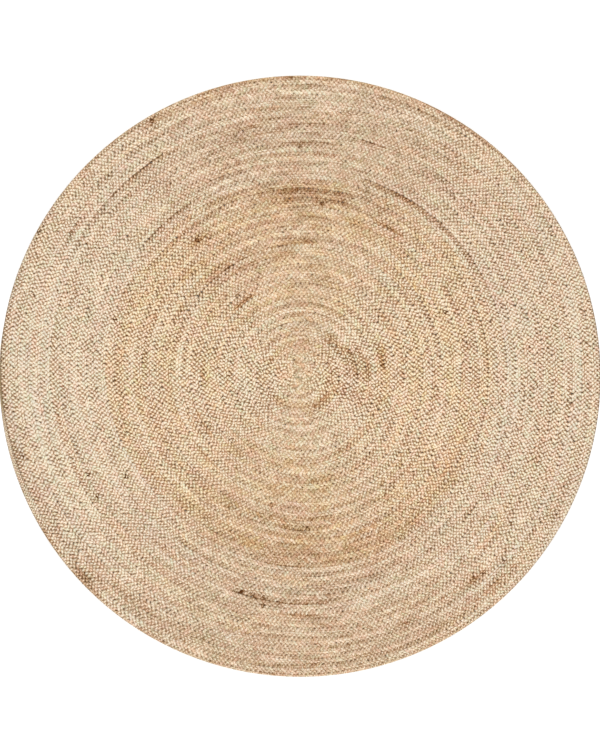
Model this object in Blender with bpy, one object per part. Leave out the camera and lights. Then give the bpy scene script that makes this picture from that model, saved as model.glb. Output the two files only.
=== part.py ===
"""A round jute rug, as one flat solid.

The rug is one long flat braid of jute, coiled outward from its centre and sewn turn to turn. Seen from
above the coil runs clockwise. Its turns lie almost as rings: each one moves out to the next ring within a
short sector after the angle where the braid ends, so that the braid's tapered tail closes a round rim.

The underside is flat. The upper face carries one long ridge, the braid's crown, between the sewn seams.
Units are metres, +Z is up, and the origin is the centre of the underside.
"""

import math

import bmesh
import bpy

COLLECTION_NAME = "round_jute_rug"
NODE_NAME = "jute_braid_coil"

# Driving sizes
RUG_RADIUS = 0.61
BRAID_THICKNESS = 0.0085
BRAID_TURNS = 32
CORE_RADIUS = 0.011

# Heights of the relief above the floor, as shares of the braid's thickness
SEAM_SHARE = 0.62
RIM_SHARE = 0.45
START_SHARE = 0.80

# How far the rim draws in below its widest line, where it meets the floor
RIM_TUCK = 0.0025

# The coil in columns of points, so many to a turn
COLUMNS_PER_TURN = 72
TAIL_COLUMNS = 12

# Where the braid ends, clockwise from +X seen from above
BRAID_END_DEG = 135.0

# The turns run as an even spiral near the centre and as stepped rings further out
RINGS_BEGIN = 0.10
RINGS_FULL = 0.30

# The hand-sewn turns wander in and out: waves per turn, height in braid widths, clockwise place of a crest.
# The row with no waves draws all the turns between centre and rim inward by the same amount.
WANDER = (
    {"waves": 0, "height": -0.20, "crest_deg": 0.0},
    {"waves": 1, "height": 0.24, "crest_deg": 29.0},
    {"waves": 2, "height": 0.11, "crest_deg": 76.0},
    {"waves": 3, "height": 0.14, "crest_deg": 66.0},
    {"waves": 4, "height": 0.06, "crest_deg": 73.0},
)
WANDER_BEGINS = 0.10
WANDER_FULL = 0.26
WANDER_FADES = 0.10

JUTE_COLOUR = (0.60, 0.44, 0.29, 1.0)
JUTE_ROUGHNESS = 0.9
SMOOTH_ANGLE_DEG = 50.0
WELD_DISTANCE = 0.00001

BRAID_WIDTH = (RUG_RADIUS - CORE_RADIUS) / BRAID_TURNS
SEAM_HEIGHT = SEAM_SHARE * BRAID_THICKNESS
RIM_HEIGHT = RIM_SHARE * BRAID_THICKNESS
START_HEIGHT = START_SHARE * BRAID_THICKNESS
LAST_RING = BRAID_TURNS * COLUMNS_PER_TURN
TAIL_END = LAST_RING + TAIL_COLUMNS


def remove_everything():
    """Empties the file."""
    for found in list(bpy.data.objects):
        bpy.data.objects.remove(found, do_unlink=True)


def smooth_step(value, low, high):
    """Rises smoothly from 0 at low to 1 at high."""
    share = min(1.0, max(0.0, (value - low) / (high - low)))
    return share * share * (3.0 - 2.0 * share)


def wander(radius, angle):
    """How far the turns stand out of round at this place, in metres."""
    waves = sum(
        wave["height"] * math.cos(wave["waves"] * (angle - math.radians(wave["crest_deg"])))
        for wave in WANDER
    )
    grown = smooth_step(radius, WANDER_BEGINS, WANDER_FULL)
    held = 1.0 - smooth_step(radius, RUG_RADIUS - WANDER_FADES, RUG_RADIUS)
    return BRAID_WIDTH * waves * grown * held


def clockwise_angle(column):
    """A column's angle in radians, clockwise from +X."""
    return math.radians(BRAID_END_DEG) + math.tau * column / COLUMNS_PER_TURN


def seam_radius(column):
    """The radius of the seam on the outer side of the braid; the tail's outer side is the rim."""
    if column >= LAST_RING:
        return RUG_RADIUS
    ring, step = divmod(column, COLUMNS_PER_TURN)
    spiral = CORE_RADIUS + BRAID_WIDTH * (ring + step / COLUMNS_PER_TURN)
    rings = CORE_RADIUS + BRAID_WIDTH * (ring + smooth_step(step, 0, TAIL_COLUMNS))
    share = smooth_step(spiral, RINGS_BEGIN, RINGS_FULL)
    radius = spiral + share * (rings - spiral)
    return radius + wander(radius, clockwise_angle(column))


def seam_height(column):
    """The height of the relief on the braid's outer side: a seam, or the rim's widest line."""
    on_the_rim = column >= LAST_RING - COLUMNS_PER_TURN + TAIL_COLUMNS
    return RIM_HEIGHT if on_the_rim else SEAM_HEIGHT


def point_at(radius, height, column):
    """The point of a column at this radius and height."""
    angle = clockwise_angle(column)
    return (radius * math.cos(angle), -radius * math.sin(angle), height)


def braid_point(column, across):
    """A point of the braid's upper face: across is 0 on the inner seam, 1 on the crown, 2 on the outer seam."""
    inner_column = column - COLUMNS_PER_TURN
    if across == 0:
        return point_at(seam_radius(inner_column), seam_height(inner_column), column)
    if across == 2:
        return point_at(seam_radius(column), seam_height(column), column)
    radius = (seam_radius(inner_column) + seam_radius(column)) / 2
    tail_share = (TAIL_END - column) / TAIL_COLUMNS
    crown = RIM_HEIGHT + (BRAID_THICKNESS - RIM_HEIGHT) * min(1.0, tail_share)
    return point_at(radius, crown, column)


def coil_surface(mesh):
    """Lays a long strip of quads along the coil and welds each turn to the one inside it."""
    columns = TAIL_END - COLUMNS_PER_TURN
    half = 0.5
    strip = bmesh.ops.create_grid(mesh, x_segments=columns, y_segments=2, size=half)
    for vertex in strip["verts"]:
        column = COLUMNS_PER_TURN + round((vertex.co.x + half) * columns)
        across = round((vertex.co.y + half) * 2)
        vertex.co = braid_point(column, across)
    bmesh.ops.remove_doubles(mesh, verts=mesh.verts, dist=WELD_DISTANCE)


def open_edges(mesh, at_centre):
    """The open edges of the hole at the centre, or else those of the rim."""
    found = []
    for edge in mesh.edges:
        middle = (edge.verts[0].co + edge.verts[1].co) / 2
        central = math.hypot(middle.x, middle.y) < RUG_RADIUS / 2
        if edge.is_boundary and central == at_centre:
            found.append(edge)
    return found


def close_centre(mesh):
    """Closes the middle with a low button, where the braid's start is tucked in."""
    filled = bmesh.ops.edgeloop_fill(mesh, edges=open_edges(mesh, at_centre=True))
    button = bmesh.ops.poke(mesh, faces=filled["faces"])
    button["verts"][0].co.z = START_HEIGHT


def close_underside(mesh):
    """Draws the rim down to the floor and closes it with the flat underside."""
    drawn = bmesh.ops.extrude_edge_only(mesh, edges=open_edges(mesh, at_centre=False))
    floor_share = (RUG_RADIUS - RIM_TUCK) / RUG_RADIUS
    for item in drawn["geom"]:
        if isinstance(item, bmesh.types.BMVert):
            item.co = (item.co.x * floor_share, item.co.y * floor_share, 0.0)
    bmesh.ops.edgeloop_fill(mesh, edges=open_edges(mesh, at_centre=False))


def braided_jute():
    """Undyed braided jute: straw-brown, dry and matt."""
    material = bpy.data.materials.new("braided_jute")
    material.use_nodes = True
    surface = material.node_tree.nodes["Principled BSDF"]
    surface.inputs["Base Color"].default_value = JUTE_COLOUR
    surface.inputs["Roughness"].default_value = JUTE_ROUGHNESS
    surface.inputs["Metallic"].default_value = 0.0
    return material


def braid_coil(collection):
    """The whole rug: the coiled braid as one closed solid."""
    mesh = bmesh.new()
    coil_surface(mesh)
    close_centre(mesh)
    close_underside(mesh)
    bmesh.ops.recalc_face_normals(mesh, faces=mesh.faces)
    data = bpy.data.meshes.new(NODE_NAME)
    mesh.to_mesh(data)
    mesh.free()
    data.materials.append(braided_jute())
    data.shade_smooth()
    data.set_sharp_from_angle(angle=math.radians(SMOOTH_ANGLE_DEG))
    collection.objects.link(bpy.data.objects.new(NODE_NAME, data))


def main():
    remove_everything()
    collection = bpy.data.collections.new(COLLECTION_NAME)
    bpy.context.scene.collection.children.link(collection)
    braid_coil(collection)


main()
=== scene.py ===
"""The looks of a round jute rug: one flat plait of three jute strands, coiled outward from the centre and
sewn turn to turn.

The file is laid out as a Blender add-on and is run as a script. Lengths are in metres, +Z is up, and the rug
lies on the floor at Z = 0 with its centre at the origin. Seen from above, the coil runs clockwise outward,
and the angles of places on it are given clockwise from +X.
"""

import math

import bpy
import numpy as np
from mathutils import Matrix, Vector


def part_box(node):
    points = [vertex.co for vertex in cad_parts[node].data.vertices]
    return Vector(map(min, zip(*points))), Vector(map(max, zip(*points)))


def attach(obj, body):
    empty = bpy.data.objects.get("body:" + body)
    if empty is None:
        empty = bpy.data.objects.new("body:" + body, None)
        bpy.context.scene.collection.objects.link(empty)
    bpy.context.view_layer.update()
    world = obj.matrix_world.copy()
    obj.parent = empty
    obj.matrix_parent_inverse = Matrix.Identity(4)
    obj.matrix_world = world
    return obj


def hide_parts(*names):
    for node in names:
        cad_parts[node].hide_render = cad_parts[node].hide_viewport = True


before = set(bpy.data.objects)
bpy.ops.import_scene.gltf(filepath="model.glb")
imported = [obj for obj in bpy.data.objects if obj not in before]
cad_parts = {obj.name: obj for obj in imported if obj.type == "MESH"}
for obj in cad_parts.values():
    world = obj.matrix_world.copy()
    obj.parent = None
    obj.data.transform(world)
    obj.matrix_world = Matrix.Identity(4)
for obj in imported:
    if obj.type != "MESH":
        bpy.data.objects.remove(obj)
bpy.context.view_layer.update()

bl_info = {
    "name": "Round Jute Rug",
    "version": (1, 0, 0),
    "blender": (4, 5, 0),
    "location": "3D View > Sidebar > Jute Rug",
    "description": "Builds a round rug of coiled and sewn jute plait, with its floor, light and camera",
    "category": "Mesh",
}

RUG_NODE = "jute_braid_coil"
RUG_SLOT = "braided_jute"
RUG_BODY = "root"

RUG_LOW, RUG_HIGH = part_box(RUG_NODE)
RUG_RADIUS = (RUG_HIGH[0] - RUG_LOW[0]) / 2
RUG_THICKNESS = RUG_HIGH[2] - RUG_LOW[2]

MM = 0.001

# The coil: how the seams between its turns run, in columns of points, so many to a turn. The tail is where
# the last turn narrows to nothing
PLAIT_TURNS = 32
CORE_RADIUS = 11 * MM
COLUMNS_PER_TURN = 72
TAIL_COLUMNS = 12
PLAIT_END_DEG = 135.0
PLAIT_WIDTH = (RUG_RADIUS - CORE_RADIUS) / PLAIT_TURNS
LAST_RING = PLAIT_TURNS * COLUMNS_PER_TURN
TAIL_END = LAST_RING + TAIL_COLUMNS

# The turns run as an even spiral near the centre and as stepped rings further out
RINGS_BEGIN = 0.10
RINGS_FULL = 0.30

# The hand-sewn turns wander in and out: waves per turn, height in plait widths, clockwise place of a crest
WANDER = (
    {"waves": 0, "height": -0.20, "crest_deg": 0.0},
    {"waves": 1, "height": 0.24, "crest_deg": 29.0},
    {"waves": 2, "height": 0.11, "crest_deg": 76.0},
    {"waves": 3, "height": 0.14, "crest_deg": 66.0},
    {"waves": 4, "height": 0.06, "crest_deg": 73.0},
)
WANDER_BEGINS = 0.10
WANDER_FULL = 0.26
WANDER_FADES = 0.10

# The plait's middle line: the column it starts at, and the share of a column from one point to the next
START_COLUMN = 4.0
LANE_STEP = 0.1

# The plait: its strands, the lengths it is built in, the rings of points for each full swing of a strand,
# and the least stitch and strand size where the plait is narrow, as shares of the full ones
STRANDS = 3
LENGTHS = 5
RINGS_PER_PERIOD = 12
NARROW_STITCH = 0.4
NARROW_SIZE = 0.12

# A strand's section, in half widths across and half thicknesses up, and how uneven it is
SECTION = (
    {"across": 1.00, "up": -0.10},
    {"across": 0.00, "up": 1.00},
    {"across": -1.00, "up": -0.10},
    {"across": -0.50, "up": -0.95},
    {"across": 0.50, "up": -0.95},
)
SECTION_FULLNESS = 1.04
SECTION_ROUGHNESS = 0.05
SECTION_SEED = 70

# A strand swings from edge to edge of the plait in a zigzag, whose runs a power of 1 would make straight. On
# the rim, which no next turn grips, it turns back in a round bend, drawn in a little and more even
SWING_POWER = 1.05
RIM_SWING_POWER = 0.8
RIM_DRAWN_IN = 0.4 * MM
RIM_CALM = 0.7

# The sewing flattens a strand at the plait's edges. Its width in the middle of the plait, as a share of the
# full one, what the edge adds to that, how far the edge is drawn along the plait, and the radius within
# which that is eased
MIDDLE_WIDTH = 0.94
EDGE_SPREAD = 0.72
EDGE_LEAN = 2.8 * MM
LEAN_LEAST_RADIUS = 10 * MM

# The plait's mean height, as a share of the rug's. A strand that crosses over the others rises by this share
# of the room above it, more where the light rakes the rug. A second wave steepens one side of the crossing,
# and a divisor brings both waves together back to about 1. A streak lifts one side of the plait
PLAIT_HEIGHT = 0.97
CROSSING_RISE = 0.86
CROSSING_RAKED = 0.3
CROSSING_STEEPER = 0.2
CROSSING_DIVISOR = 1.04
STREAK_LIFT = 0.35 * MM

# A low dark band of painted shade, which shows in the gaps between the strands, drawn at every few points of
# the middle line. Near the centre, up to these columns, it is higher and paler, and it fills the hole in the
# middle
BED_STEP = 5
BED_HALF_WIDTH = 0.96
BED_HOLE_RADIUS = 0.2 * MM
BED_TOP = 2.0 * MM
BED_CENTRE_RISE = 3.2 * MM
BED_THICKNESS = 1.0 * MM
BED_CENTRE_FULL = 50.0
BED_CENTRE_ENDS = 110.0
BED_SHADE_TONE = 0.30
BED_CENTRE_PALER = 0.2

# The middle of the ramps of tints and blushes, which changes no colour
NEUTRAL = 0.5

# Smooth random changes. The grain is the distance over which one changes: metres along the plait, or radians
# of a strand's own turning. The strands share a change, or each has its own, with its number added to the
# seed
DRIFTS = {
    "stitch_slow": {"seed": 11, "grain": 90 * MM, "depth": 0.06},
    "stitch_quick": {"seed": 12, "grain": 20 * MM, "depth": 0.13},
    "slip": {"seed": 150, "grain": 1.6, "depth": 0.30},
    "width": {"seed": 20, "grain": 12 * MM, "depth": 0.09},
    "height": {"seed": 30, "grain": 12 * MM, "depth": 0.08},
    "reach": {"seed": 40, "grain": 12 * MM, "depth": 0.08},
    "thickness": {"seed": 50, "grain": 70 * MM, "depth": 0.04},
    "lift": {"seed": 60, "grain": 11 * MM, "depth": 0.30 * MM},
    "lean": {"seed": 160, "grain": 50 * MM, "depth": 1.2 * MM},
    "streak": {"seed": 190, "grain": 140 * MM, "depth": 1.0},
    "stitch_tone": {"seed": 80, "grain": math.pi, "depth": 0.05},
    "strand_tone": {"seed": 90, "grain": 500 * MM, "depth": 0.045},
    "plait_tone": {"seed": 100, "grain": 1100 * MM, "depth": 0.03},
    "patch_tone": {"seed": 110, "grain": 50 * MM, "depth": 0.04},
    "strand_warmth": {"seed": 120, "grain": 400 * MM, "depth": 0.05},
    "plait_warmth": {"seed": 130, "grain": 900 * MM, "depth": 0.06},
    "tuft_warmth": {"seed": 140, "grain": 9 * MM, "depth": 0.11},
    "side_warmth": {"seed": 200, "grain": 160 * MM, "depth": 0.10},
    "patch_warmth": {"seed": 205, "grain": 50 * MM, "depth": 0.08},
    "tuft_blush": {"seed": 230, "grain": 9 * MM, "depth": 0.21},
    "patch_blush": {"seed": 240, "grain": 50 * MM, "depth": 0.07},
    "side_blush": {"seed": 245, "grain": 140 * MM, "depth": 0.07},
    "crest_place": {"seed": 170, "grain": math.pi / 2, "depth": 0.6},
    "crest_depth": {"seed": 180, "grain": math.pi, "depth": 0.45},
    "twist": {"seed": 220, "grain": math.pi / 2, "depth": 0.22},
    "closed_seam": {"seed": 210, "grain": 100 * MM, "depth": 1.0},
    "closed_seam_quick": {"seed": 216, "grain": 12 * MM, "depth": 0.5},
    "open_seam": {"seed": 215, "grain": 10 * MM, "depth": 0.75},
}
DRIFT_SPREAD = 0.7
DRIFT_LIMIT = 1.6

# Where the changes of slip and of stitches start, in radians of a strand's own turning before its first ring
SLIP_PHASE = 1.0
STITCH_PHASE = 0.75 * math.pi

# The light rakes the strands more where the plait runs toward the lamps, on the rug's +X and -X sides, and
# the painted highlights and painted shade are stronger there. The whole plait is painted paler there too,
# as painted light, near the rim more than at the centre
RAKING = 0.65
FACING_LIGHT_TONE = 0.017
FACING_LIGHT_RIM_TONE = 0.0595
FACING_BEGINS = 0.08
FACING_FULL = 0.45

# A strand's tone on the ramp of jute tones, and what changes it: a streak along one side of the plait, the
# crown of the row, painted paler as painted light where the light rakes, its outer side, and the tucked-in
# start, which fades between these columns. The start's painted crest highlights and painted groove shade
# are softer as well
PLAIN_TONE = 0.617
STREAK_TONE = 0.055
CROWN_LIGHT_TONE = 0.022
CROWN_WAVE = 1.3 * math.pi
OUTER_SIDE_TONE = 0.02
START_TONE = 0.05
START_SOFTNESS = 0.45
START_SHOWS = 40.0
START_FADES = 220.0

# How much warmer and rosier browner jute is, for each step of its tone
WARMTH_PER_TONE = 0.7
BLUSH_PER_TONE = 0.55

# The plait is of three batches of jute: the turns between which the middle and the outer one come in, how
# much darker, warmer and rosier the middle one is than the first, and how much cooler the outer one
MIDDLE_BATCH_TURNS = (8.0, 10.0)
OUTER_BATCH_TURNS = (19.0, 22.5)
MIDDLE_BATCH_TONE = 0.03
MIDDLE_BATCH_WARMTH = 0.10
MIDDLE_BATCH_BLUSH = 0.04
OUTER_BATCH_WARMTH = 0.16

# The painted highlight on the crest of each stitch: where it lies in the crossing, how the raking light
# brings it out, its least and its added strength, its usual and its greatest share from stitch to stitch,
# and how much brown jute dulls it
CREST_PHASE = math.radians(60.0)
CREST_RAKED_POWER = 1.6
CREST_LEAST = 0.35
CREST_ADDED = 0.65
CREST_USUAL = 0.9
CREST_MOST = 2.5
CREST_DULLED = 2.0
CREST_DULLEST = 0.2

# The painted shade in the dark grooves beside each strand deepens with the raking of the light and is
# softened by brown jute, down to a limit. At this level of raking it doesn't show
GROOVE_SOFTENED = 1.5
GROOVE_SOFTEST = 0.8
GROOVE_LEVEL = 0.8

# The yarns of a strand wind round it, so many in each full swing, from this part of a turn on
YARNS_PER_PERIOD = 8.0
YARN_PHASE = 0.37

# An open seam's painted shade comes and goes: its usual share and its limits, how deep it is in the seam,
# and how much it browns the strands on its inner side
OPEN_SEAM_USUAL = 0.75
OPEN_SEAM_LEAST = 0.15
OPEN_SEAM_MOST = 1.4
OPEN_SEAM_DEPTH = 0.75
OPEN_SEAM_SHADE_BROWN = 0.45

# A closed seam is a hairline of painted shade that shows here and there: its depth, how much of it stays
# hidden, and the raking of the light that would wash it out
CLOSED_SEAM_DEPTH = 0.20
CLOSED_SEAM_HIDDEN = 0.1
CLOSED_SEAM_WASHED_OUT = 1.3

# Marked lengths begin and end within so many columns, and fade in across the row between these places
LENGTH_FADE = 0.5
SIDE_BEGINS = -0.3
SIDE_FULL = 0.5

# Places along the plait where the seam on its outer side gapes: turn, from and to in degrees clockwise from
# +X, how far it gapes, and how dark its painted shade is
OPEN_SEAMS = (
    (3, 352, 20, 0.6 * MM, 0.08),
    (5, 328, 2, 0.8 * MM, 0.12),
    (10, 215, 240, 0.6 * MM, 0.14),
    (13, 217, 240, 0.8 * MM, 0.24),
    (13, 240, 266, 0.5 * MM, 0.15),
    (15, 85, 97, 0.8 * MM, 0.22),
    (15, 239, 277, 0.4 * MM, 0.08),
    (18, 262, 285, 0.4 * MM, 0.06),
    (19, 223, 251, 0.5 * MM, 0.12),
    (19, 262, 286, 0.6 * MM, 0.08),
    (19, 335, 28, 0.5 * MM, 0.12),
    (20, 201, 207, 0.8 * MM, 0.24),
    (21, 221, 241, 0.9 * MM, 0.25),
    (21, 287, 336, 0.8 * MM, 0.11),
    (21, 338, 2, 0.4 * MM, 0.10),
    (22, 246, 251, 1.0 * MM, 0.26),
    (22, 35, 41, 0.8 * MM, 0.20),
    (23, 86, 91, 0.6 * MM, 0.15),
    (23, 99, 106, 0.7 * MM, 0.12),
    (24, 268, 271, 0.6 * MM, 0.18),
    (25, 271, 275, 0.9 * MM, 0.28),
    (25, 285, 291, 0.6 * MM, 0.14),
    (27, 214, 223, 0.6 * MM, 0.14),
    (27, 223, 238, 1.4 * MM, 0.32),
    (28, 211, 215, 1.2 * MM, 0.34),
    (30, 285, 299, 0.8 * MM, 0.22),
    (31, 240, 307, 0.4 * MM, 0.14),
)

# Lengths of browner plait: turn, from and to in degrees clockwise from +X, side (-1 inner half, 1 outer
# half, 0 both), and how much browner
BROWN_LENGTHS = (
    (3, 29, 64, -1, 0.22),
    (3, 330, 16, -1, 0.16),
    (4, 299, 0, 1, 0.16),
    (4, 8, 27, 0, 0.10),
    (5, 300, 2, -1, 0.18),
    (5, 326, 0, 1, 0.22),
    (5, 8, 28, 0, 0.12),
    (6, 331, 5, 0, 0.14),
    (6, 245, 271, 1, 0.12),
    (6, 9, 27, 0, 0.12),
    (7, 343, 3, -1, 0.27),
    (7, 10, 28, 0, 0.08),
    (8, 340, 355, 1, 0.24),
    (9, 338, 17, -1, 0.18),
    (9, 20, 40, -1, 0.12),
    (10, 225, 240, -1, 0.34),
    (11, 283, 293, -1, 0.12),
    (12, 145, 161, -1, 0.12),
    (13, 223, 267, -1, 0.18),
    (14, 223, 239, -1, 0.17),
    (14, 255, 277, -1, 0.10),
    (14, 135, 144, -1, 0.14),
    (18, 230, 237, -1, 0.26),
    (18, 298, 305, -1, 0.22),
    (18, 264, 291, 1, 0.11),
    (19, 258, 285, -1, 0.11),
    (19, 262, 283, 1, 0.16),
    (20, 262, 287, -1, 0.05),
    (20, 240, 262, 0, 0.05),
    (21, 289, 336, 1, 0.11),
    (24, 95, 104, -1, 0.14),
    (25, 85, 92, -1, 0.22),
    (26, 253, 268, -1, 0.09),
    (27, 254, 261, -1, 0.18),
    (28, 47, 53, -1, 0.30),
    (28, 64, 69, -1, 0.18),
    (30, 44, 49, -1, 0.18),
    (30, 59, 64, -1, 0.18),
    (31, 238, 243, -1, 0.22),
    (31, 246, 256, -1, 0.14),
    (31, 160, 167, 1, 0.10),
    (31, 296, 318, 1, 0.12),
    (31, 132, 134, 1, 0.30),
    (32, 135, 140, 0, 0.30),
    (32, 144, 150, 1, 0.20),
)

# Lengths of paler plait, given in the same way
PALE_LENGTHS = (
    (2, 40, 120, -1, 0.06),
    (4, 285, 300, 1, 0.10),
    (11, 170, 180, 1, 0.08),
    (12, 25, 35, -1, 0.10),
    (13, 355, 30, 1, 0.05),
    (15, 138, 152, 1, 0.10),
    (18, 135, 195, -1, 0.07),
    (19, 335, 358, -1, 0.10),
    (21, 143, 180, -1, 0.10),
    (21, 246, 280, -1, 0.10),
    (21, 270, 292, 1, 0.07),
    (22, 345, 22, -1, 0.08),
    (23, 150, 185, -1, 0.09),
    (23, 345, 12, 0, 0.06),
    (24, 150, 186, 0, 0.07),
    (25, 186, 196, 1, 0.12),
    (26, 335, 344, 1, 0.10),
    (27, 20, 48, 1, 0.07),
    (27, 145, 210, 0, 0.06),
    (28, 168, 178, 1, 0.12),
    (29, 165, 187, 1, 0.14),
    (29, 150, 200, -1, 0.06),
    (29, 343, 12, 0, 0.07),
    (30, 140, 156, 1, 0.12),
    (30, 180, 190, 1, 0.12),
)

# Dark knots of bark fibre: turn, degrees clockwise from +X, and place across the row, from -1 to 1
KNOTS = (
    (8, 351, 0.85),
    (11, 232, -0.70),
    (15, 87, 0.35),
    (16, 336, 0.40),
    (18, 233, -0.20),
    (18, 277, -0.10),
    (20, 197, 0.55),
    (22, 150, -0.15),
    (23, 99, 0.85),
    (23, 102, 0.70),
    (23, 105, 0.75),
    (24, 99, 0.30),
    (24, 270, 0.20),
    (25, 2, -0.80),
    (25, 155, 0.75),
    (25, 177, 0.20),
    (26, 149, -0.80),
    (27, 35, -0.35),
    (28, 47, -0.25),
    (29, 6, -0.90),
    (29, 42, -0.70),
    (31, 164, -0.45),
    (31, 209, 0.60),
    (31, 240, -0.20),
)

# Every knot's length along the plait, its width in half row widths, and how dark it is
KNOT_LENGTH = 3.6 * MM
KNOT_WIDTH = 0.42
KNOT_DEPTH = 0.8

# The values that the jute material reads at each point. The first are single numbers: its tone and warmth,
# how strongly the painted crest highlights and the painted groove shade show, its place across its strand,
# and the turn of its yarns. The others are triples: place in the strand, place in the row, and the painted
# shade of both seams with the blush
POINT_NUMBERS = ("tone", "warmth", "crest", "groove", "across", "twist")
POINT_TRIPLES = ("place", "row_place", "seam")

# Each strand takes its fibre pattern this far from the last one's, so that no two are alike
PATTERN_SHIFT = 100.0

# A strand's points are paler the further they are above or below the middle of the rug's thickness: painted
# shade, darkest deep among the strands
HEIGHT_SHADE_TONE = 0.12
HEIGHT_LEVEL = 0.75

# The jute's patterns. A yarn is about 2 mm thick. Jute fibre is about 0.1 mm thick, too fine to show, so it
# is drawn as tufts of about a millimetre. Lines of paler and darker fibre run along the row, so many in half
# its width, which makes each about 2.6 mm wide
YARN_WIDTH = 2.4 * MM
YARN_LENGTH = 1.5 * MM
YARN_DEPTH = 0.78
FIBRE_WIDTH = 1.3 * MM
FIBRE_LENGTH = 0.9 * MM
FIBRE_DEPTH = 1.1
PATTERN_LEVEL = 0.53
LINES_PER_HALF_ROW = 3.6
LINE_LENGTH = 60 * MM

# How the painted crest highlight and the painted groove shade change from a strand's middle line, at 0, to
# its edge, at 1
CREST_SHADE = {"From_Min": 0.05, "From_Max": 0.45, "To_Min": 0.95, "To_Max": 0.0}
GROOVE_SHADE = {"From_Min": 0.40, "From_Max": 1.0, "To_Min": 0.0, "To_Max": -0.20}

# How far a yarn slants from one edge of its strand to the middle, in turns, the roundness of its painted
# crest highlight, and the depth of the yarns, partly painted shade, and of the lines: where the painted
# groove shade doesn't show, and what its strength adds
YARN_SLANT = 0.25
YARN_ROUNDNESS = 2.0
YARN_SHADE = {"plain": 0.125, "grooved": 0.085}
LINE_SHADE = {"plain": 0.65, "grooved": -0.35}

# Waves of shade across the row: the kind, the pitch in half row widths, and the depth
ROW_WAVES = (("COSINE", 0.92, 0.02), ("SINE", 2.0, -0.02))

# The painted shade of the seams on both sides of a row: the part of "seam" with its darkness, and where it
# begins and is darkest
SEAM_SHADES = (("X", 0.66, 0.96), ("Y", -0.66, -0.96))

# Jute is dry and matt, with a faint sheen, and its loose fibre roughens it a little
JUTE_ROUGHNESS = 0.8
JUTE_SHEEN = 0.15
FIBRE_BUMP = 0.6
FIBRE_HEIGHT = 0.3 * MM

# The ramps of the jute's colours: the place of each stop and its colour
JUTE_TONES = ((0.0, "bark"), (0.2, "brown"), (0.4, "tan"), (0.6, "straw"), (0.8, "pale"), (1.0, "palest_and_highlight"))
JUTE_TINTS = ((0.0, "cool_tint"), (0.5, "no_tint"), (1.0, "warm_tint"))
JUTE_BLUSHES = ((0.0, "green_tint"), (0.5, "no_tint"), (1.0, "rose_tint"))

# The floor, the white sky and the soft boxes, which stand on the rug's -Y and +Y sides and face its centre
FLOOR_SIZE = 60.0
FLOOR_ROUGHNESS = 0.9
FLOOR_GLOW = 0.25
LIGHT_WHITE = "#ffffff"
SKY_STRENGTH = 0.40
SOFTBOXES = (
    {"name": "softbox_left", "side": -1.0, "power": 175.0},
    {"name": "softbox_right", "side": 1.0, "power": 166.25},
)
SOFTBOX_LENGTH = 2.0
SOFTBOX_HEIGHT = 3.0
SOFTBOX_AWAY = 4.2
SOFTBOX_UP = 2.6

# The camera looks straight down, and the rug lies in its picture as in the photo, which is taller than wide
CAMERA_DISTANCE = 4.5
CAMERA_SENSOR = 36.0
CAMERA_REACH = 100.0
PHOTO_HEIGHT_PX = 750
RUG_WIDTH_PX = 602.4
RUG_BELOW_MIDDLE_PX = 1.2
PIXEL = 2 * RUG_RADIUS / RUG_WIDTH_PX


def linear(hex_colour):
    """A colour given as sRGB hex, turned to the linear values that shaders take."""
    values = [int(hex_colour[i : i + 2], 16) / 255 for i in (1, 3, 5)]
    return tuple(v / 12.92 if v <= 0.04045 else ((v + 0.055) / 1.055) ** 2.4 for v in values) + (1.0,)


def colour_property(name, description, hex_colour):
    """A colour that a user can change, with its default given as sRGB hex."""
    return bpy.props.FloatVectorProperty(
        name=name, description=description, default=linear(hex_colour),
        subtype="COLOR", size=4, min=0.0, max=1.0,
    )


class RugSizes(bpy.types.PropertyGroup):
    """The sizes of the strands and of their plait."""

    strand_width: bpy.props.FloatProperty(
        name="Strand Width", description="Width of a strand in the plait",
        default=6.4 * MM, min=1 * MM, max=20 * MM, unit="LENGTH",
    )
    strand_thickness: bpy.props.FloatProperty(
        name="Strand Thickness", description="Thickness of a strand in the plait",
        default=4.5 * MM, min=1 * MM, max=20 * MM, unit="LENGTH",
    )
    stitch: bpy.props.FloatProperty(
        name="Stitch", description="Distance along the plait from one crossing to the next",
        default=8.75 * MM, min=2 * MM, max=50 * MM, unit="LENGTH",
    )
    seam_grip: bpy.props.FloatProperty(
        name="Seam Grip", description="How far the edges of two turns reach into each other at a seam",
        default=5.0 * MM, min=-5 * MM, max=6 * MM, unit="LENGTH",
    )
    edge_lift: bpy.props.FloatProperty(
        name="Edge Lift", description="How far the sewing pulls the strands up at the plait's edges",
        default=1.1 * MM, min=0.0, max=3 * MM, unit="LENGTH",
    )


class RugColours(bpy.types.PropertyGroup):
    """The colours of the jute, from dark to pale, the tints laid over them, and the floor."""

    # The dark stops also carry painted shade in grooves and seams, the palest one painted highlights
    bark: colour_property("Bark", "Jute in the deepest grooves and the knots", "#5a330c")
    brown: colour_property("Brown", "Jute in the grooves between strands", "#946a3e")
    tan: colour_property("Tan", "The darker fibre of the strands", "#c1a17f")
    straw: colour_property("Straw", "The usual fibre of the strands", "#d9bfa0")
    pale: colour_property("Pale", "The paler fibre of the strands", "#f6dec1")
    palest_and_highlight: colour_property("Palest And Highlight", "The crests of the palest strands", "#fff3da")
    cool_tint: colour_property("Cool Tint", "Tint of the coolest jute", "#f2f4fc")
    warm_tint: colour_property("Warm Tint", "Tint of the warmest jute", "#fff6d6")
    green_tint: colour_property("Green Tint", "Tint of the greenest jute", "#eefbf2")
    rose_tint: colour_property("Rose Tint", "Tint of the rosiest jute", "#ffebea")
    no_tint: colour_property("No Tint", "Tint of the jute between warm and cool", "#ffffff")
    floor: colour_property("Floor", "Colour of the floor", "#f7f7f7")


def smooth_step(value, low, high):
    """Rises smoothly from 0 at low to 1 at high."""
    share = np.clip((value - low) / (high - low), 0.0, 1.0)
    return share * share * (3.0 - 2.0 * share)


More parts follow.
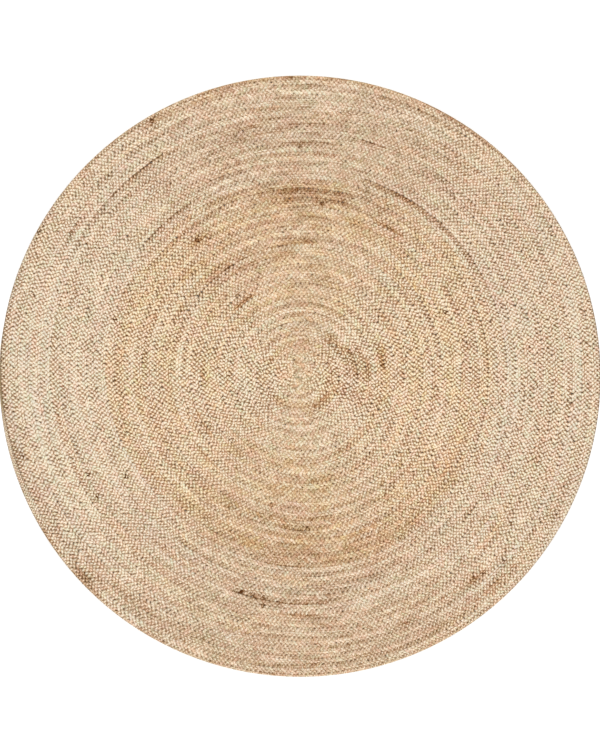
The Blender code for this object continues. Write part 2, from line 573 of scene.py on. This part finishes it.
def clockwise_angle(column):
    """A column's angle in radians, clockwise from +X."""
    return math.radians(PLAIT_END_DEG) + math.tau * column / COLUMNS_PER_TURN


def wander(radius, angle):
    """How far the turns stand out of round."""
    waves = sum(w["height"] * np.cos(w["waves"] * (angle - math.radians(w["crest_deg"]))) for w in WANDER)
    grown = smooth_step(radius, WANDER_BEGINS, WANDER_FULL)
    held = 1.0 - smooth_step(radius, RUG_RADIUS - WANDER_FADES, RUG_RADIUS)
    return PLAIT_WIDTH * waves * grown * held


def seam_radius(column):
    """The radius of the seam on the outer side of the plait; the tail's outer side is the rim."""
    ring = np.floor(column / COLUMNS_PER_TURN)
    step = column - ring * COLUMNS_PER_TURN
    spiral = CORE_RADIUS + PLAIT_WIDTH * (ring + step / COLUMNS_PER_TURN)
    rings = CORE_RADIUS + PLAIT_WIDTH * (ring + smooth_step(step, 0, TAIL_COLUMNS))
    share = smooth_step(spiral, RINGS_BEGIN, RINGS_FULL)
    radius = spiral + share * (rings - spiral)
    radius = radius + wander(radius, clockwise_angle(column))
    return np.where(column >= LAST_RING, RUG_RADIUS, np.maximum(radius, 0.0))


def drift(name, place, number=0):
    """Smooth random values at these places, for the strand of this number or, without one, for all."""
    change = DRIFTS[name]
    count = int(np.max(place) / change["grain"]) + 3
    knots = np.random.default_rng(change["seed"] + number).normal(0.0, DRIFT_SPREAD, count)
    knots = np.clip(knots, -DRIFT_LIMIT, DRIFT_LIMIT)
    steps = np.maximum(place, 0.0) / change["grain"]
    left = np.floor(steps).astype(int)
    share = smooth_step(steps - left, 0.0, 1.0)
    return change["depth"] * (knots[left] * (1.0 - share) + knots[left + 1] * share)


def column_at(turn, degrees):
    """The column of a turn at an angle in degrees clockwise from +X."""
    return (turn + (degrees - PLAIT_END_DEG) % 360.0 / 360.0) * COLUMNS_PER_TURN


def between(column, turn, begin, end):
    """1 between two angles of a turn, falling smoothly to 0 just beyond them."""
    low = column_at(turn, begin)
    high = column_at(turn, end)
    begun = smooth_step(column, low - LENGTH_FADE, low + LENGTH_FADE)
    return begun * (1.0 - smooth_step(column, high - LENGTH_FADE, high + LENGTH_FADE))


def seam_gap(column):
    """How far the seam on a column's outer side gapes and how dark its painted shade is there."""
    gape = np.zeros_like(column)
    dark = np.zeros_like(column)
    for turn, begin, end, width, depth in OPEN_SEAMS:
        share = between(column, turn, begin, end)
        gape = np.maximum(gape, width * share)
        dark = np.maximum(dark, depth * share)
    return gape, dark


def length_tones(column, wave):
    """How much paler or browner the jute is at each place of a strand."""
    tone = np.zeros_like(column)
    for sign, lengths in ((-1.0, BROWN_LENGTHS), (1.0, PALE_LENGTHS)):
        for turn, begin, end, side, depth in lengths:
            half = 1.0 if side == 0 else smooth_step(side * wave, SIDE_BEGINS, SIDE_FULL)
            tone = tone + sign * depth * between(column, turn, begin, end) * half
    return tone


def knot_tones(lane, along, wave):
    """How much darker the knots make each place of a strand."""
    tone = np.zeros_like(along)
    for turn, degrees, across in KNOTS:
        middle = np.interp(column_at(turn, degrees), lane["column"], lane["along"])
        away = ((along - middle) / KNOT_LENGTH) ** 2 + ((wave - across) / KNOT_WIDTH) ** 2
        tone = tone - KNOT_DEPTH * np.exp(-away)
    return tone


def seam_shade(along, dark, raking):
    """How dark the painted shade of a seam is along the plait, where it is open and where it is closed."""
    uneven = np.clip(OPEN_SEAM_USUAL + drift("open_seam", along), OPEN_SEAM_LEAST, OPEN_SEAM_MOST)
    hairline = drift("closed_seam", along) - CLOSED_SEAM_HIDDEN + drift("closed_seam_quick", along)
    hairline = CLOSED_SEAM_DEPTH * np.clip(hairline, 0.0, 1.0)
    return OPEN_SEAM_DEPTH * dark * uneven + hairline * (CLOSED_SEAM_WASHED_OUT - raking)


def plait_lane(sizes):
    """The plait's middle line, as columns of numbers by name.

    "turn" is the plait's turning in radians, a full turn for each swing of a strand to both edges and back,
    and "size" is the share of their full size that the strands have where the plait is narrow.
    """
    column = np.arange(START_COLUMN, TAIL_END - 1.0, LANE_STEP)
    inner = seam_radius(column - COLUMNS_PER_TURN)
    outer = seam_radius(column)
    lane = {"column": column, "radius": (inner + outer) / 2, "half": (outer - inner) / 2}
    angle = clockwise_angle(column)
    x = lane["radius"] * np.cos(angle)
    y = -lane["radius"] * np.sin(angle)
    lane["along"] = np.concatenate(([0.0], np.cumsum(np.hypot(np.diff(x), np.diff(y)))))
    uneven = 1.0 + drift("stitch_slow", lane["along"]) + drift("stitch_quick", lane["along"])
    period = sizes.stitch * STRANDS * uneven * np.clip(lane["half"] * 2 / PLAIT_WIDTH, NARROW_STITCH, 1.0)
    turn = np.diff(lane["along"]) / ((period[1:] + period[:-1]) / 2)
    lane["turn"] = math.tau * np.concatenate(([0.0], np.cumsum(turn)))
    lane["size"] = np.clip(lane["half"] * 2 / PLAIT_WIDTH, NARROW_SIZE, 1.0)
    return lane


def strand_course(lane, number):
    """How one strand runs in the plait, as columns of numbers by name, with a row for each of its rings.

    "own" is the strand's own turning in radians, "wave" its place across the row from -1 at the inner seam
    to 1 at the outer, "rim" is 1 on the rug's rim, and "brown" is how much paler or, below 0, browner it is,
    with the painted shade beside an open seam counted as browner.
    """
    shift = math.tau * number / STRANDS
    ring_turn = math.tau / RINGS_PER_PERIOD
    first = math.ceil(shift / ring_turn)
    last = math.floor((lane["turn"][-1] + shift) / ring_turn)
    own = np.arange(first, last + 1) * ring_turn
    turn = own - shift + drift("slip", own + SLIP_PHASE, number)
    turn = np.maximum.accumulate(np.clip(turn, 0.0, lane["turn"][-1]))
    at = {key: np.interp(turn, lane["turn"], lane[key]) for key in lane}
    swing = 2 / math.pi * np.arcsin(np.sin(own))
    wave = np.sign(swing) * np.abs(swing) ** SWING_POWER
    round_wave = np.sign(wave) * np.abs(np.sin(own)) ** RIM_SWING_POWER
    rim_column = LAST_RING - COLUMNS_PER_TURN
    at["rim"] = smooth_step(at["column"], rim_column, rim_column + TAIL_COLUMNS) * (wave > 0)
    at["own"] = own
    at["wave"] = wave + at["rim"] * (round_wave - wave)
    at["angle"] = clockwise_angle(at["column"])
    at["raking"] = 1.0 + RAKING * np.cos(2 * at["angle"])
    at["streak"] = drift("streak", at["along"])
    at["start"] = 1.0 - smooth_step(at["column"], START_SHOWS, START_FADES)
    at["outer_gape"], at["outer_dark"] = seam_gap(at["column"])
    at["inner_gape"], at["inner_dark"] = seam_gap(at["column"] - COLUMNS_PER_TURN)
    # Painted shade from an open seam browns the strands beside it
    painted_seam_shade = OPEN_SEAM_SHADE_BROWN * at["outer_dark"] * smooth_step(at["wave"], 0.0, 1.0)
    at["brown"] = length_tones(at["column"], at["wave"]) - painted_seam_shade
    return at


def strand_shape(sizes, at, number):
    """The middle of each ring of a strand, and the strand's width and height there."""
    along, size, wave, rim = at["along"], at["size"], at["wave"], at["rim"]
    edge = wave**4 * (1.0 - rim)
    width = sizes.strand_width * size * (1 + drift("width", along, number))
    height = sizes.strand_thickness * size * (1 + drift("height", along, number))
    reach = at["half"] - width / 2 + sizes.seam_grip / 2 * (1.0 - rim) - RIM_DRAWN_IN * rim
    reach = reach * (1 + (1.0 - RIM_CALM * rim) * drift("reach", along, number))
    reach = reach - at["outer_gape"] * np.clip(wave, 0.0, 1.0) - at["inner_gape"] * np.clip(-wave, 0.0, 1.0)
    thickness = RUG_THICKNESS * size * (PLAIT_HEIGHT + drift("thickness", along))
    rise = (thickness - sizes.strand_thickness * size) / 2
    rise = rise * (CROSSING_RISE + CROSSING_RAKED * (at["raking"] - 1.0))
    crossing = (np.sin(2 * at["own"]) + CROSSING_STEEPER * np.sin(4 * at["own"])) / CROSSING_DIVISOR
    z = thickness / 2 + rise * crossing + sizes.edge_lift * size * edge
    z = z + drift("lift", along, number) + STREAK_LIFT * at["streak"] * wave
    z = np.maximum(z, height / 2)
    radius = at["radius"] + reach * wave
    lean = (EDGE_LEAN * np.abs(wave) * (1.0 - rim) + drift("lean", along) * wave) * size
    angle = at["angle"] + lean / np.maximum(radius, LEAN_LEAST_RADIUS)
    middle = np.stack([radius * np.cos(angle), -radius * np.sin(angle), z], axis=1)
    return {"middle": middle, "width": width * (MIDDLE_WIDTH + EDGE_SPREAD * edge), "height": height}


def strand_colour(lane, at, number):
    """A strand's places on the ramps of tones, tints and blushes."""
    along, wave = at["along"], at["wave"]
    dyed = drift("strand_tone", along, number) + drift("plait_tone", along)
    dyed = dyed + STREAK_TONE * at["streak"] * wave + drift("patch_tone", along, number) + at["brown"]
    turns = at["column"] / COLUMNS_PER_TURN
    outer_batch = smooth_step(turns, *OUTER_BATCH_TURNS)
    middle_batch = smooth_step(turns, *MIDDLE_BATCH_TURNS) - outer_batch
    # Painted light: the plait is paler where the light rakes it
    facing_light = FACING_LIGHT_TONE + FACING_LIGHT_RIM_TONE * smooth_step(at["radius"], FACING_BEGINS, FACING_FULL)
    tone = PLAIN_TONE + dyed + knot_tones(lane, along, wave) + facing_light * (at["raking"] - 1.0)
    tone = tone + drift("stitch_tone", at["own"] + STITCH_PHASE, number)
    tone = tone - MIDDLE_BATCH_TONE * middle_batch + START_TONE * at["start"]
    # Painted light: the crown of the row is paler where the light rakes it
    tone = tone + CROWN_LIGHT_TONE * at["raking"] * np.cos(CROWN_WAVE * wave) - OUTER_SIDE_TONE * wave
    warmth = NEUTRAL + drift("strand_warmth", along, number) + drift("plait_warmth", along)
    warmth = warmth + drift("tuft_warmth", along, number) + drift("side_warmth", along) * wave
    warmth = warmth + drift("patch_warmth", along) - WARMTH_PER_TONE * dyed
    warmth = warmth + MIDDLE_BATCH_WARMTH * middle_batch - OUTER_BATCH_WARMTH * outer_batch
    blush = NEUTRAL + MIDDLE_BATCH_BLUSH * middle_batch + drift("tuft_blush", along, number)
    blush = blush + drift("patch_blush", along) + drift("side_blush", along) * wave - BLUSH_PER_TONE * dyed
    return {"tone": tone, "warmth": warmth, "blush": blush}


def strand_marks(lane, at, number):
    """How strongly a strand's painted crest highlights, painted groove shade and painted seam shade show,
    and the turn of its yarns.
    """
    own, raking, brown = at["own"], at["raking"], at["brown"]
    softness = 1.0 - START_SOFTNESS * at["start"]
    # Painted highlight on the crest of each stitch, stronger where the light rakes
    crossing = np.cos(2 * own - CREST_PHASE + drift("crest_place", own, number))
    crest = raking**CREST_RAKED_POWER * (CREST_LEAST + CREST_ADDED * np.clip(crossing, 0.0, 1.0))
    crest = crest * np.clip(CREST_USUAL + drift("crest_depth", own + STITCH_PHASE, number), 0.0, CREST_MOST)
    crest = crest * np.clip(1.0 + CREST_DULLED * brown, CREST_DULLEST, 1.0) * softness
    # Painted shade in the grooves beside each strand, deeper where the light rakes
    groove = raking + GROOVE_SOFTENED * np.minimum(brown, 0.0)
    groove = np.maximum(groove, np.minimum(raking, GROOVE_SOFTEST)) * softness - GROOVE_LEVEL
    inner_along = np.interp(at["column"] - COLUMNS_PER_TURN, lane["column"], lane["along"])
    return {
        "crest": crest,
        "groove": groove,
        "twist": own * YARNS_PER_PERIOD / math.tau - YARN_PHASE + drift("twist", own, number),
        "outer": seam_shade(at["along"], at["outer_dark"], raking),
        "inner": seam_shade(inner_along, at["inner_dark"], raking),
    }


def strand_rings(sizes, lane, number):
    """One strand's rings, as columns of numbers by name."""
    at = strand_course(lane, number)
    rings = {key: at[key] for key in ("along", "radius", "half")}
    rings.update(strand_shape(sizes, at, number))
    rings.update(strand_colour(lane, at, number))
    rings.update(strand_marks(lane, at, number))
    return rings


def shade_bed_tube(lane):
    """Painted shade in the gaps between the strands, as one low flat dark band under the whole plait."""
    column, radius, half, along = (lane[key][::BED_STEP] for key in ("column", "radius", "half", "along"))
    angle = clockwise_angle(column)[:, None]
    centre = 1.0 - smooth_step(column, BED_CENTRE_FULL, BED_CENTRE_ENDS)
    first_turn = column < COLUMNS_PER_TURN + START_COLUMN
    inner = np.where(first_turn, BED_HOLE_RADIUS, radius - BED_HALF_WIDTH * half)
    outer = radius + BED_HALF_WIDTH * half
    out = np.stack([outer, inner, inner, outer], axis=1)
    top = BED_TOP + BED_CENTRE_RISE * centre
    height = np.stack([top, top, top - BED_THICKNESS, top - BED_THICKNESS], axis=1)
    flat = np.zeros_like(out)
    place = np.stack([out, flat, along[:, None] + flat], axis=-1)
    bed = {name: flat for name in POINT_NUMBERS} | {name: np.zeros_like(place) for name in POINT_TRIPLES}
    bed["points"] = np.stack([out * np.cos(angle), -out * np.sin(angle), height], axis=-1)
    bed["place"] = place
    bed["tone"] = flat + BED_SHADE_TONE + BED_CENTRE_PALER * centre[:, None]
    bed["warmth"] = flat + NEUTRAL
    return bed


def tube(rings, number):
    """The points of one strand's tube, with the values that the jute material reads there."""
    middle = rings["middle"]
    across_share = np.array([corner["across"] for corner in SECTION])
    up_share = np.array([corner["up"] for corner in SECTION])
    tangent = np.gradient(middle, axis=0)
    tangent /= np.linalg.norm(tangent, axis=1)[:, None]
    across = np.cross(tangent, np.array([0.0, 0.0, 1.0]))
    across /= np.linalg.norm(across, axis=1)[:, None]
    up = np.cross(across, tangent)
    generator = np.random.default_rng(SECTION_SEED + number)
    rough = SECTION_FULLNESS + SECTION_ROUGHNESS * generator.normal(size=(len(middle), len(SECTION)))
    side = (rings["width"] / 2)[:, None] * across_share * rough
    lift = (rings["height"] / 2)[:, None] * up_share * rough
    points = middle[:, None, :] + side[..., None] * across[:, None, :] + lift[..., None] * up[:, None, :]
    points[..., 2] = np.maximum(points[..., 2], 0.0)
    ring = {key: np.repeat(values[:, None], len(SECTION), axis=1) for key, values in rings.items()}
    # Painted shade: points near the middle of the rug's thickness, deep among the strands, are darker
    high = np.abs(points[..., 2] - RUG_THICKNESS / 2) / (RUG_THICKNESS / 2)
    row = (np.hypot(points[..., 0], points[..., 1]) - ring["radius"]) / ring["half"]
    return {
        "points": points,
        "place": np.stack([side, lift, ring["along"] + number * PATTERN_SHIFT], axis=-1),
        "row_place": np.stack([row, ring["along"], np.zeros_like(row)], axis=-1),
        "seam": np.stack([ring["outer"], ring["inner"], ring["blush"]], axis=-1),
        "tone": ring["tone"] + HEIGHT_SHADE_TONE * (np.clip(high, 0, 1) - HEIGHT_LEVEL),
        "warmth": ring["warmth"],
        "crest": ring["crest"],
        "groove": ring["groove"],
        "across": across_share + np.zeros_like(row),
        "twist": ring["twist"],
    }


def tube_mesh(name, tubes):
    """A mesh of tubes with closed ends, each with the values that the jute material reads at its points."""
    points, quads, caps, start = [], [], [], 0
    for values in tubes:
        rings = values["points"]
        count, sides = rings.shape[:2]
        points.append(rings.reshape(-1, 3))
        ring = np.arange(count - 1)[:, None] * sides + start
        one = np.arange(sides)[None, :]
        two = (one + 1) % sides
        corners = [ring + one, ring + two, ring + sides + two, ring + sides + one]
        quads.append(np.stack(corners, axis=-1).reshape(-1, 4))
        last = start + (count - 1) * sides
        caps.append([start + i for i in reversed(range(sides))])
        caps.append([last + i for i in range(sides)])
        start += count * sides
    mesh = bpy.data.meshes.new(name)
    mesh.from_pydata(np.concatenate(points).tolist(), [], np.concatenate(quads).tolist() + caps)
    mesh.shade_smooth()
    for key in POINT_NUMBERS:
        values = np.concatenate([tube_values[key].ravel() for tube_values in tubes]).astype(np.float32)
        mesh.attributes.new(key, "FLOAT", "POINT").data.foreach_set("value", values)
    for key in POINT_TRIPLES:
        values = np.concatenate([tube_values[key].ravel() for tube_values in tubes]).astype(np.float32)
        mesh.attributes.new(key, "FLOAT_VECTOR", "POINT").data.foreach_set("vector", values)
    return mesh


def add_node(tree, kind, settings=None, **inputs):
    """Adds a node with its settings and its inputs, by name: each a value, a socket to link or a node."""
    node = tree.nodes.new(kind)
    for key, value in (settings or {}).items():
        setattr(node, key, value)
    for key, value in inputs.items():
        name = key.replace("_", " ")
        sockets = [socket for socket in node.inputs if socket.name == name and socket.enabled]
        for socket, part in zip(sockets, value if isinstance(value, list) else [value]):
            if isinstance(part, bpy.types.Node):
                part = next(output for output in part.outputs if output.enabled)
            if isinstance(part, bpy.types.NodeSocket):
                tree.links.new(part, socket)
            else:
                socket.default_value = part
    return node


def set_ramp(node, stops, colours):
    """Gives a colour ramp its stops, each a place and the name of a colour."""
    ramp = node.color_ramp
    while len(ramp.elements) < len(stops):
        ramp.elements.new(0.5)
    for element, (place, name) in zip(ramp.elements, stops):
        element.position = place
        element.color = getattr(colours, name)


def point_values(tree):
    """The sockets that give the material the values of the mesh's points, by name."""
    outputs = {name: "Fac" for name in POINT_NUMBERS} | {name: "Vector" for name in POINT_TRIPLES}
    return {
        name: add_node(tree, "ShaderNodeAttribute", {"attribute_name": name}).outputs[output]
        for name, output in outputs.items()
    }


def fibre_shade(tree, point):
    """The loose fibre and the lumps of yarn in a strand, as paler and darker grain."""
    scale = (1 / YARN_WIDTH, 1 / YARN_WIDTH, 1 / YARN_LENGTH)
    place = add_node(tree, "ShaderNodeMapping", Vector=point["place"], Scale=scale)
    yarn = add_node(tree, "ShaderNodeTexNoise", Vector=place, Scale=1.0, Detail=1.0)
    scale = (1 / FIBRE_WIDTH, 1 / FIBRE_WIDTH, 1 / FIBRE_LENGTH)
    place = add_node(tree, "ShaderNodeMapping", Vector=point["place"], Scale=scale)
    fibre = add_node(tree, "ShaderNodeTexNoise", Vector=place, Scale=1.0, Detail=2.0)
    sum_up = {"operation": "MULTIPLY_ADD"}
    yarn = add_node(tree, "ShaderNodeMath", sum_up, Value=[yarn, YARN_DEPTH, -YARN_DEPTH / 2])
    return add_node(tree, "ShaderNodeMath", sum_up, Value=[fibre, FIBRE_DEPTH, yarn])


def strand_shades(tree, point):
    """The painted shade in the grooves, the twisted yarns, partly painted shade, and the painted highlights
    on the crests of a strand, each as a shade and its strength.
    """
    smooth = {"interpolation_type": "SMOOTHSTEP"}
    sum_up = {"operation": "MULTIPLY_ADD"}
    times = {"operation": "MULTIPLY"}
    aside = add_node(tree, "ShaderNodeMath", {"operation": "ABSOLUTE"}, Value=point["across"])
    # Painted highlight along a strand's middle line, painted shade at its edges
    crown = add_node(tree, "ShaderNodeMapRange", smooth, Value=aside, **CREST_SHADE)
    groove = add_node(tree, "ShaderNodeMapRange", smooth, Value=aside, **GROOVE_SHADE)
    yarn = add_node(tree, "ShaderNodeMath", sum_up, Value=[point["across"], YARN_SLANT, point["twist"]])
    yarn = add_node(tree, "ShaderNodeMath", times, Value=[yarn, math.tau])
    yarn = add_node(tree, "ShaderNodeMath", {"operation": "SINE"}, Value=yarn)
    depth = [point["groove"], YARN_SHADE["grooved"], YARN_SHADE["plain"]]
    yarn_depth = add_node(tree, "ShaderNodeMath", sum_up, Value=depth)
    crest = add_node(tree, "ShaderNodeMath", sum_up, Value=[yarn, 0.5, 0.5])
    crest = add_node(tree, "ShaderNodeMath", {"operation": "POWER"}, Value=[crest, YARN_ROUNDNESS])
    crest = add_node(tree, "ShaderNodeMath", times, Value=[crest, point["crest"]])
    return [(groove, point["groove"]), (yarn, yarn_depth), (crown, crest)]


def row_shades(tree, point, row, seam):
    """The lines along a row, the waves across it and the painted shade of its seams, each as a shade and its
    strength.
    """
    scale = (LINES_PER_HALF_ROW, 1 / LINE_LENGTH, 1.0)
    place = add_node(tree, "ShaderNodeMapping", Vector=point["row_place"], Scale=scale)
    line = add_node(tree, "ShaderNodeTexNoise", Vector=place, Scale=1.0, Detail=1.0)
    line = add_node(tree, "ShaderNodeMath", {"operation": "SUBTRACT"}, Value=[line, 0.5])
    depth = [point["groove"], LINE_SHADE["grooved"], LINE_SHADE["plain"]]
    shades = [(line, add_node(tree, "ShaderNodeMath", {"operation": "MULTIPLY_ADD"}, Value=depth))]
    for kind, pitch, depth in ROW_WAVES:
        wave = add_node(tree, "ShaderNodeMath", {"operation": "MULTIPLY"}, Value=[row, math.tau / pitch])
        shades.append((add_node(tree, "ShaderNodeMath", {"operation": kind}, Value=wave), depth))
    # Painted shade along both seams of the row
    for side, begins, darkest in SEAM_SHADES:
        near = add_node(
            tree, "ShaderNodeMapRange", {"interpolation_type": "SMOOTHSTEP"},
            Value=row, From_Min=begins, From_Max=darkest, To_Max=-1.0,
        )
        shades.append((near, seam.outputs[side]))
    return shades


def braided_jute(colours):
    """Undyed jute, spun to yarn and plaited: a dry, matt, hairy fibre in straw and brown.

    The spinning gives each strand slanting yarns, with painted highlights on their crests, the plaiting
    grooves beside them and the sewing a line where two rows meet, both darkened with painted shade. The
    grain and the mixed hues are the plant's own.
    """
    material = bpy.data.materials.new(RUG_SLOT)
    material.use_nodes = True
    tree = material.node_tree
    point = point_values(tree)
    fibres = fibre_shade(tree, point)
    row = add_node(tree, "ShaderNodeSeparateXYZ", Vector=point["row_place"]).outputs["X"]
    seam = add_node(tree, "ShaderNodeSeparateXYZ", Vector=point["seam"])
    shade = add_node(tree, "ShaderNodeMath", {"operation": "ADD"}, Value=[point["tone"], fibres])
    shade = add_node(tree, "ShaderNodeMath", {"operation": "SUBTRACT"}, Value=[shade, PATTERN_LEVEL])
    for added, strength in strand_shades(tree, point) + row_shades(tree, point, row, seam):
        sum_up = [added, strength, shade]
        shade = add_node(tree, "ShaderNodeMath", {"operation": "MULTIPLY_ADD"}, Value=sum_up)
    tone = add_node(tree, "ShaderNodeValToRGB", Fac=shade)
    set_ramp(tone, JUTE_TONES, colours)
    tint = add_node(tree, "ShaderNodeValToRGB", Fac=point["warmth"])
    set_ramp(tint, JUTE_TINTS, colours)
    blush = add_node(tree, "ShaderNodeValToRGB", Fac=seam.outputs["Z"])
    set_ramp(blush, JUTE_BLUSHES, colours)
    multiply = {"data_type": "RGBA", "blend_type": "MULTIPLY"}
    tint = add_node(tree, "ShaderNodeMix", multiply, Factor=1.0, A=tint, B=blush)
    colour = add_node(tree, "ShaderNodeMix", multiply, Factor=1.0, A=tone, B=tint)
    bump = add_node(tree, "ShaderNodeBump", Strength=FIBRE_BUMP, Distance=FIBRE_HEIGHT, Height=fibres)
    surface = tree.nodes["Principled BSDF"]
    surface.inputs["Roughness"].default_value = JUTE_ROUGHNESS
    surface.inputs["Specular IOR Level"].default_value = JUTE_SHEEN
    tree.links.new(colour.outputs[2], surface.inputs["Base Color"])
    tree.links.new(bump.outputs["Normal"], surface.inputs["Normal"])
    return material


def floor_paint(colours):
    """Matt white floor paint, rolled on: it has no gloss, and a faint glow keeps its shadows pale."""
    material = bpy.data.materials.new("white_floor_paint")
    material.use_nodes = True
    surface = material.node_tree.nodes["Principled BSDF"]
    surface.inputs["Base Color"].default_value = colours.floor
    surface.inputs["Roughness"].default_value = FLOOR_ROUGHNESS
    surface.inputs["Emission Color"].default_value = linear(LIGHT_WHITE)
    surface.inputs["Emission Strength"].default_value = FLOOR_GLOW
    return material


def length_part(count, index):
    """The rings, of so many in all, that one length takes; two lengths share the ring between them."""
    begin = round(count * index / LENGTHS)
    end = None if index == LENGTHS - 1 else round(count * (index + 1) / LENGTHS) + 1
    return slice(begin, end)


class RUG_OT_plait(bpy.types.Operator):
    """Builds the coiled plait as five lengths of three strands"""

    bl_idname = "rug.plait"
    bl_label = "Coiled Plait"

    def execute(self, context):
        sizes = context.scene.rug_sizes
        material = braided_jute(context.scene.rug_colours)
        lane = plait_lane(sizes)
        strands = [strand_rings(sizes, lane, number) for number in range(STRANDS)]
        tubes = [tube(rings, number) for number, rings in enumerate(strands)]
        # A dark band of painted shade under the strands, which shows in the gaps between them
        bed = shade_bed_tube(lane)
        bed_along = lane["along"][::BED_STEP]
        count = min(len(rings["middle"]) for rings in strands)
        for index in range(LENGTHS):
            part = length_part(count, index)
            bed_part = length_part(len(bed_along), index)
            cut = [{key: values[part] for key, values in strand.items()} for strand in tubes]
            cut.append({key: values[bed_part] for key, values in bed.items()})
            name = f"jute_plait_length_{index + 1}"
            mesh = tube_mesh(name, cut)
            mesh.materials.append(material)
            piece = bpy.data.objects.new(name, mesh)
            context.scene.collection.objects.link(piece)
            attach(piece, RUG_BODY)
            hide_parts(RUG_NODE)
        return {"FINISHED"}


class RUG_OT_stage(bpy.types.Operator):
    """Builds the pale floor, the soft light from both sides and the camera above"""

    bl_idname = "rug.stage"
    bl_label = "Floor, Light and Camera"

    def execute(self, context):
        scene = context.scene
        bpy.ops.mesh.primitive_plane_add(size=FLOOR_SIZE)
        floor = context.object
        floor.name = "floor"
        floor.data.materials.append(floor_paint(scene.rug_colours))
        world = bpy.data.worlds.new("studio")
        world.use_nodes = True
        sky = world.node_tree.nodes["Background"]
        sky.inputs["Color"].default_value = linear(LIGHT_WHITE)
        sky.inputs["Strength"].default_value = SKY_STRENGTH
        scene.world = world
        for softbox in SOFTBOXES:
            data = bpy.data.lights.new(softbox["name"], "AREA")
            data.shape = "RECTANGLE"
            data.size = SOFTBOX_LENGTH
            data.size_y = SOFTBOX_HEIGHT
            data.energy = softbox["power"]
            lamp = bpy.data.objects.new(data.name, data)
            lamp.location = (0.0, softbox["side"] * SOFTBOX_AWAY, SOFTBOX_UP)
            lamp.rotation_euler = (-softbox["side"] * math.atan2(SOFTBOX_AWAY, SOFTBOX_UP), 0.0, 0.0)
            scene.collection.objects.link(lamp)
        data = bpy.data.cameras.new("camera")
        data.sensor_width = CAMERA_SENSOR
        data.lens = CAMERA_SENSOR * CAMERA_DISTANCE / (PIXEL * PHOTO_HEIGHT_PX)
        data.clip_end = CAMERA_REACH
        camera = bpy.data.objects.new("camera", data)
        camera.location = (0.0, RUG_BELOW_MIDDLE_PX * PIXEL, CAMERA_DISTANCE + RUG_THICKNESS)
        scene.collection.objects.link(camera)
        scene.camera = camera
        scene.view_settings.view_transform = "Standard"
        return {"FINISHED"}


class RUG_PT_panel(bpy.types.Panel):
    """Lists the rug's sizes and colours and the steps that build it"""

    bl_idname = "RUG_PT_panel"
    bl_label = "Jute Rug"
    bl_space_type = "VIEW_3D"
    bl_region_type = "UI"
    bl_category = "Jute Rug"

    def draw(self, context):
        scene = context.scene
        for group, kind in ((scene.rug_sizes, RugSizes), (scene.rug_colours, RugColours)):
            for name in kind.__annotations__:
                self.layout.prop(group, name)
        for operator in (RUG_OT_plait, RUG_OT_stage):
            self.layout.operator(operator.bl_idname)


CLASSES = (RugSizes, RugColours, RUG_OT_plait, RUG_OT_stage, RUG_PT_panel)


def register():
    """Registers the classes and gives every scene the rug's sizes and colours."""
    for found in CLASSES:
        bpy.utils.register_class(found)
    bpy.types.Scene.rug_sizes = bpy.props.PointerProperty(type=RugSizes)
    bpy.types.Scene.rug_colours = bpy.props.PointerProperty(type=RugColours)


def unregister():
    """Takes the rug's sizes, colours and classes away again."""
    del bpy.types.Scene.rug_colours
    del bpy.types.Scene.rug_sizes
    for found in reversed(CLASSES):
        bpy.utils.unregister_class(found)


def main():
    """Builds the rug and its stage."""
    register()
    bpy.ops.rug.plait()
    bpy.ops.rug.stage()
    bpy.context.view_layer.update()


if __name__ == "__main__":
    main()
